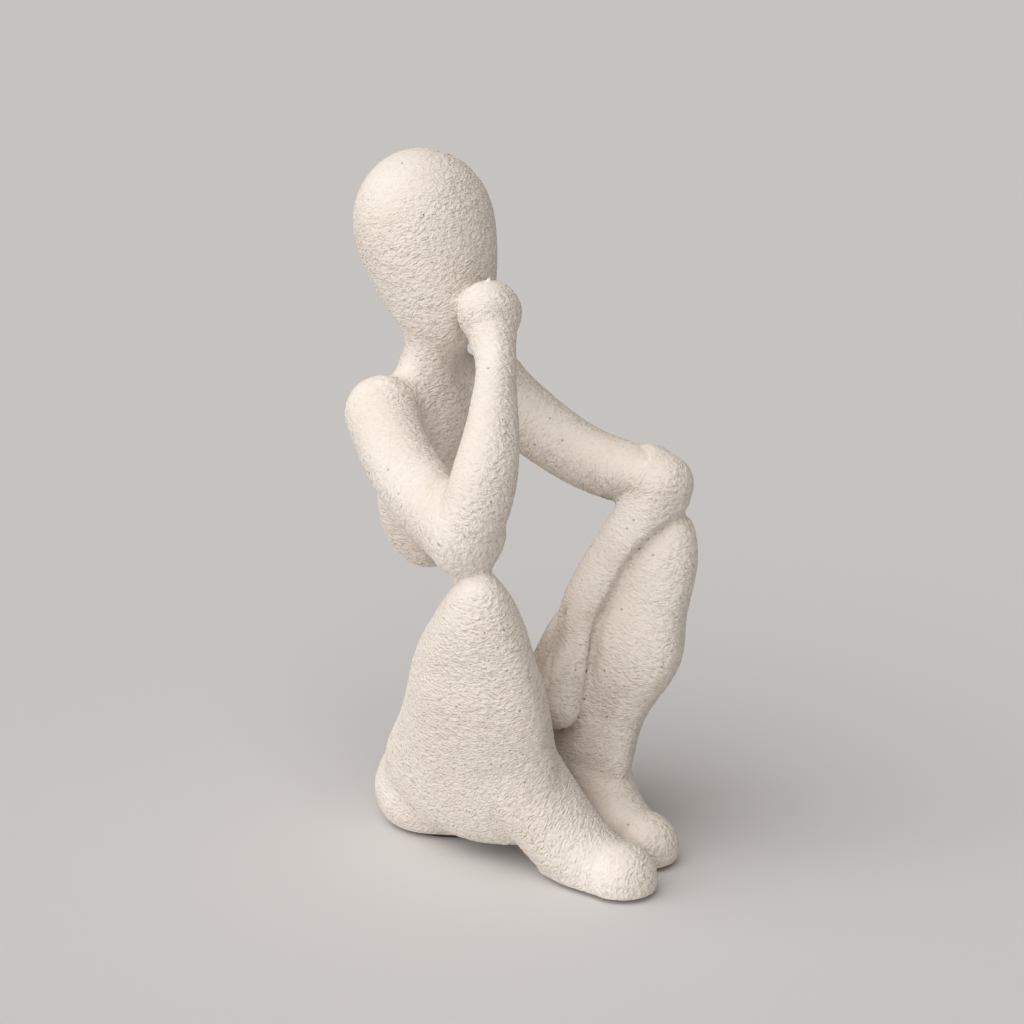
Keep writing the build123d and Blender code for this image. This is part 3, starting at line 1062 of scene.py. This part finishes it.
@dataclass
class Studio:
    """A plain pale floor, soft light and the camera.

    Attributes:
        camera_place: where the camera stands, in millimetres.
        camera_turn: the camera's azimuth and height angle, in degrees.
        view_angle: the camera's field of view, in degrees.
        floor_half: half the side of the floor, in millimetres.
        floor_colour: colour of the floor.
        backdrop_colour: colour seen above the floor's far edge.
        lamp_aim: direction of the lamp from the figure, in the camera's right, up and back.
        lamp_strength: its strength on a surface that faces it.
        lamp_spread: how broad it is, in degrees.
        lamp_colour: its colour.
        air_colour: colour of the light from all around.
        air_strength: strength of that light.
    """

    camera_place: Place = (-498.48, -622.93, 337.3)
    camera_turn: tuple[float, float] = (-38.5, 15.0)
    view_angle: float = 25.0
    floor_half: float = 16000.0
    floor_colour: Colour = (0.67, 0.655, 0.652, 1.0)
    backdrop_colour: Colour = (0.59, 0.562, 0.545, 1.0)
    lamp_aim: Place = (-0.46, 0.55, 0.70)
    lamp_strength: float = 2.9
    lamp_spread: float = 92.0
    lamp_colour: tuple[float, float, float] = (1.0, 0.995, 0.99)
    air_colour: Colour = (1.0, 0.91, 0.82, 1.0)
    air_strength: float = 0.2

    def camera_axes(self) -> Matrix:
        """Gives the camera's right, up and back directions as the columns of a matrix."""
        azimuth, height = (math.radians(angle) for angle in self.camera_turn)
        level = math.cos(height)
        back = Vector((math.sin(azimuth) * level, -math.cos(azimuth) * level, math.sin(height)))
        right = Vector((0.0, 0.0, 1.0)).cross(back).normalized()
        return Matrix((right, back.cross(right), back)).transposed()

    def add_camera(self) -> None:
        """Adds the camera at the photograph's angle."""
        data = bpy.data.cameras.new("view_camera")
        data.angle = math.radians(self.view_angle)
        data.clip_start = 10.0 * MM
        data.clip_end = 30.0
        camera = bpy.data.objects.new("view_camera", data)
        bpy.context.scene.collection.objects.link(camera)
        camera.matrix_world = Matrix.Translation(Vector(self.camera_place) * MM) @ self.camera_axes().to_4x4()
        bpy.context.scene.camera = camera

    def add_floor(self) -> None:
        """Adds the pale floor."""
        half = self.floor_half * MM
        mesh = bpy.data.meshes.new("floor")
        corners = [(-half, -half, 0), (half, -half, 0), (half, half, 0), (-half, half, 0)]
        mesh.from_pydata(corners, [], [(0, 1, 2, 3)])
        floor = mesh_object("floor", mesh)
        material, _, shader = new_finish("floor_finish")
        shader.inputs["Base Color"].default_value = self.floor_colour
        shader.inputs["Roughness"].default_value = 0.95
        shader.inputs["Specular IOR Level"].default_value = 0.1
        mesh.materials.append(material)

    def add_lamp(self) -> None:
        """Adds a far, broad lamp that lights the floor evenly."""
        data = bpy.data.lights.new("key_light", "SUN")
        data.energy = self.lamp_strength
        data.angle = math.radians(self.lamp_spread)
        data.color = self.lamp_colour
        lamp = bpy.data.objects.new("key_light", data)
        bpy.context.scene.collection.objects.link(lamp)
        way = (self.camera_axes() @ Vector(self.lamp_aim)).normalized()
        lamp.rotation_euler = way.to_track_quat("Z", "Y").to_euler()

    def add_world(self) -> None:
        """Adds even light from all around, and a pale backdrop above the floor's far edge."""
        world = bpy.data.worlds.new("studio_air")
        bpy.context.scene.world = world
        world.use_nodes = True
        graph = NodeGraph(world.node_tree)
        air = world.node_tree.nodes["Background"]
        air.inputs["Color"].default_value = self.air_colour
        air.inputs["Strength"].default_value = self.air_strength
        backdrop = graph.add("ShaderNodeBackground", {}, {"Color": self.backdrop_colour})
        seen = graph.add("ShaderNodeLightPath").outputs["Is Camera Ray"]
        mixed = graph.add("ShaderNodeMixShader", {}, {0: seen, 1: air.outputs[0], 2: backdrop.outputs[0]})
        graph.tree.links.new(mixed.outputs[0], world.node_tree.nodes["World Output"].inputs["Surface"])

    def build(self) -> None:
        """Sets up the floor, the light, the camera and the view transform."""
        self.add_floor()
        self.add_lamp()
        self.add_world()
        self.add_camera()
        bpy.context.scene.view_settings.view_transform = "Standard"


def figure() -> Figure:
    """Lists the castings with their spines and nibs, and how they meet and are pushed and folded.

    Returns:
        The figure, ready to build.
    """
    head = Casting(Piece.HEAD, Spine(((-4.3, 60.0, 248.0), (-4.3, 31.0, 176.0))))
    torso = Casting(Piece.TORSO, Spine(((-4.3, 38.0, 190.0), (-4.3, 45.0, 160.0), (-4.3, 49.0, 94.0))))
    hips = Casting(
        Piece.HIPS,
        Spine(((-4.3, 42.0, 115.0), (-4.3, 20.0, 92.0), (-4.3, 28.0, 45.0), (-4.3, 29.0, 2.0))))
    right_arm = Casting(
        Piece.RIGHT_ARM,
        Spine(((-29.3, 41.4, 156.5), (-38.3, 9.7, 139.0), (-40.3, -22.1, 127.5), (-40.3, -25.1, 134.0),
               (-30.9, -23.1, 156.0), (-12.3, -1.1, 181.2), (-5.1, 10.0, 194.8), (-3.0, 13.0, 204.0))),
        (Nib((-5.9, 9.3, 206.2), 0.8, 1.6), Nib((-32.5, 37.8, 169.5), 0.9, 0.6),
         Nib((-31.4, 36.6, 169.4), 0.7, 0.5), Nib((-30.6, 35.6, 169.0), 0.9, 0.7),
         Nib((-29.7, 34.2, 168.3), 0.7, 0.5), Nib((-28.9, 33.3, 167.7), 0.8, 0.6)))
    left_arm = Casting(
        Piece.LEFT_ARM,
        Spine(((20.7, 41.4, 159.5), (33.0, 6.5, 140.0), (42.7, -29.1, 133.0), (38.4, -24.6, 119.0),
               (24.7, -15.6, 97.0), (13.7, -13.1, 74.0), (5.7, -15.6, 53.5), (4.0, -16.0, 46.0))))
    right_leg = Casting(
        Piece.RIGHT_LEG,
        Spine(((-48.0, -16.0, 114.0), (-30.0, -14.0, 40.0), (-18.0, -36.0, 16.0), (-3.0, -74.0, 6.0)), 14.0))
    left_leg = Casting(
        Piece.LEFT_LEG,
        Spine(((42.0, -28.0, 124.0), (26.0, -12.0, 40.0), (20.0, -24.0, 16.0), (17.0, -58.0, 6.0)), 14.0))
    return Figure(
        castings=(head, torso, hips, right_arm, left_arm, right_leg, left_leg),
        seams={(Piece.RIGHT_ARM, Piece.RIGHT_LEG): 0.5},
        joins={(Piece.HIPS, Piece.RIGHT_LEG): 6.0, (Piece.HIPS, Piece.LEFT_LEG): 5.0,
               (Piece.HIPS, Piece.TORSO): 1.5, (Piece.HEAD, Piece.TORSO): 3.5,
               (Piece.TORSO, Piece.RIGHT_ARM): 2.5, (Piece.TORSO, Piece.LEFT_ARM): 2.5},
        pinches={(Piece.RIGHT_ARM, Piece.RIGHT_LEG): 7.0},
        creases={(Piece.LEFT_ARM, Piece.LEFT_LEG): (0.7, 1.6)},
        nudges=(
            Nudge((4.7, -11.4, 76.1), 11.0, (3.2, -2.5, 0.0), Piece.LEFT_ARM),
            Nudge((38.0, -33.0, 133.0), 12.0, (-1.5, -1.9, 0.6), Piece.LEFT_ARM),
            Nudge((30.0, -30.0, 112.0), 12.0, (-2.1, -2.7, 0.9), Piece.LEFT_ARM),
            Nudge((20.0, -26.0, 92.0), 12.0, (-2.1, -2.7, 0.9), Piece.LEFT_ARM),
            Nudge((14.0, -25.0, 70.0), 12.0, (-2.1, -2.7, 0.9), Piece.LEFT_ARM),
            Nudge((16.6, 3.1, 72.0), 13.0, (-0.8, 0.6, 3.5), Piece.LEFT_LEG),
            Nudge((22.0, 20.0, 151.0), 18.0, (0.0, 0.0, 2.2)),
            Nudge((-49.0, -14.0, 97.0), 15.0, (1.2, -0.9, 0.0)),
            Nudge((-20.0, 43.0, 107.0), 12.0, (1.5, -1.2, 1.3)),
            Nudge((-25.0, 44.0, 197.0), 14.0, (1.0, -0.8, 0.0)),
            Nudge((37.0, -26.0, 145.5), 8.0, (0.0, 0.0, -1.5)),
            Nudge((7.0, 29.0, 171.5), 11.0, (-3.5, 2.8, 0.0)),
            Nudge((-4.3, 30.0, 103.0), 12.0, (0.0, 3.3, -2.9)),
            Nudge((-4.3, 37.5, 111.5), 10.0, (0.0, 2.8, -2.5)),
            Nudge((-19.3, -2.5, 184.5), 12.0, (1.3, -1.0, 0.0), Piece.RIGHT_ARM),
            Nudge((-36.5, -35.2, 123.6), 8.0, (-0.9, 0.8, 0.0)),
            Nudge((-50.5, -23.0, 117.0), 7.0, (0.0, 0.0, -1.2))),
        calms=(Calm((-12.0, -41.0, 45.0), 13.0), Calm((-32.0, -34.0, 28.0), 12.0)),
        folds=(
            Fold(((30.5, -20.7, 128.4), (30.0, -25.2, 131.3), (30.4, -28.9, 136.1), (32.8, -30.2, 140.7),
                  (36.1, -30.5, 143.5), (38.5, -27.5, 145.5), (41.0, -22.0, 145.5)),
                 (-0.6, -0.76, 0.26), 2.4, 1.3, 1.1),
            Fold(((0.7, -17.0, 64.8), (3.1, -15.7, 71.6), (6.1, -15.5, 78.3), (9.5, -14.5, 86.0)),
                 (-0.6, -0.76, 0.26), 2.6, 1.6, 0.6)))


def main() -> None:
    """Builds the figure and the studio."""
    logging.basicConfig(level=logging.INFO, format="%(name)s %(message)s")
    figure().build()
    Studio().build()


if __name__ == "__main__":
    main()
